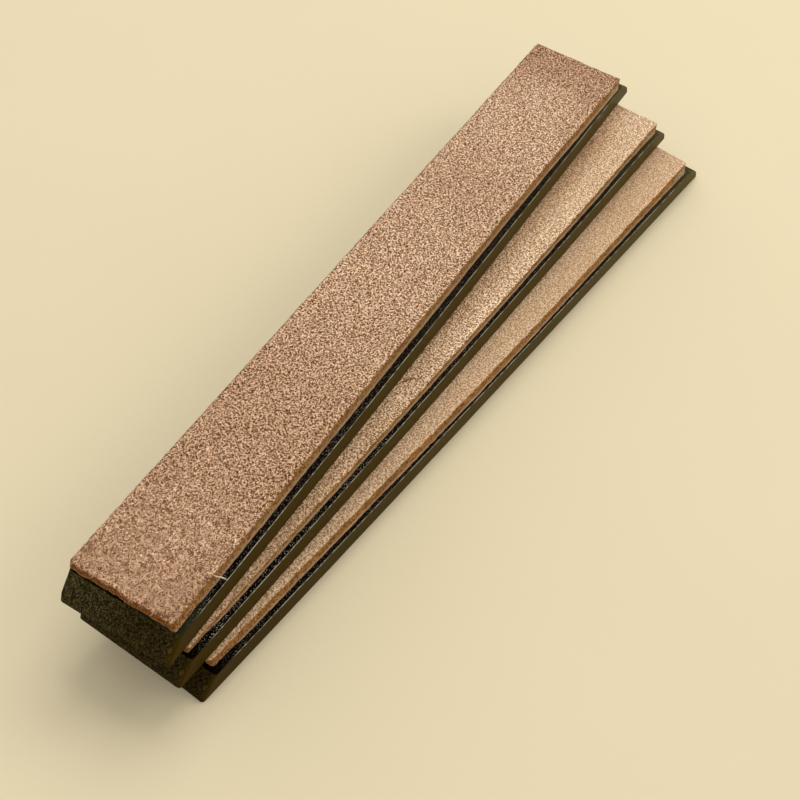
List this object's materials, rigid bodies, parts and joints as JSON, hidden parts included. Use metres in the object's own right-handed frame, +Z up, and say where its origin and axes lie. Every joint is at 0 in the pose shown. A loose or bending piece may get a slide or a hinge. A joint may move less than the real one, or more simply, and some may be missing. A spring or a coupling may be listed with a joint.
{
  "type": "leather strop",
  "caption": "Leather strops for a guided knife sharpener: black plastic bars with sloping ends, each faced with a glued strip of nap-side leather, stacked and fanned by hand.",
  "frame": {"origin": "centre of the bottom strop's underside", "axes": "+X along the bottom strop towards the end where the fan opens, +Z up out of the leather, -Z out of the resting face"},
  "size_m": [0.166, 0.0387, 0.0231],
  "materials": {
    "black_plastic": "moulded, finely grained on top and ends, smooth on the sides",
    "adhesive_tape": "pale double-sided tape, seen as a thin band",
    "nap_leather": "split leather, nap side up, with brown cut edges"
  },
  "bodies": {
    "bottom_strop": {"bottom_strop_base": "black_plastic", "bottom_strop_adhesive": "adhesive_tape", "bottom_strop_leather": "nap_leather"},
    "middle_strop": {"middle_strop_base": "black_plastic", "middle_strop_adhesive": "adhesive_tape", "middle_strop_leather": "nap_leather"},
    "top_strop": {"top_strop_base": "black_plastic", "top_strop_adhesive": "adhesive_tape", "top_strop_leather": "nap_leather"}
  },
  "joints": [
    {"name": "middle_strop_lift", "type": "slide", "parent": "bottom_strop", "child": "middle_strop", "axis": [0, 0, 1], "range_m": [0, 0.03]},
    {"name": "top_strop_lift", "type": "slide", "parent": "middle_strop", "child": "top_strop", "axis": [0, 0, 1], "range_m": [0, 0.03]}
  ]
}
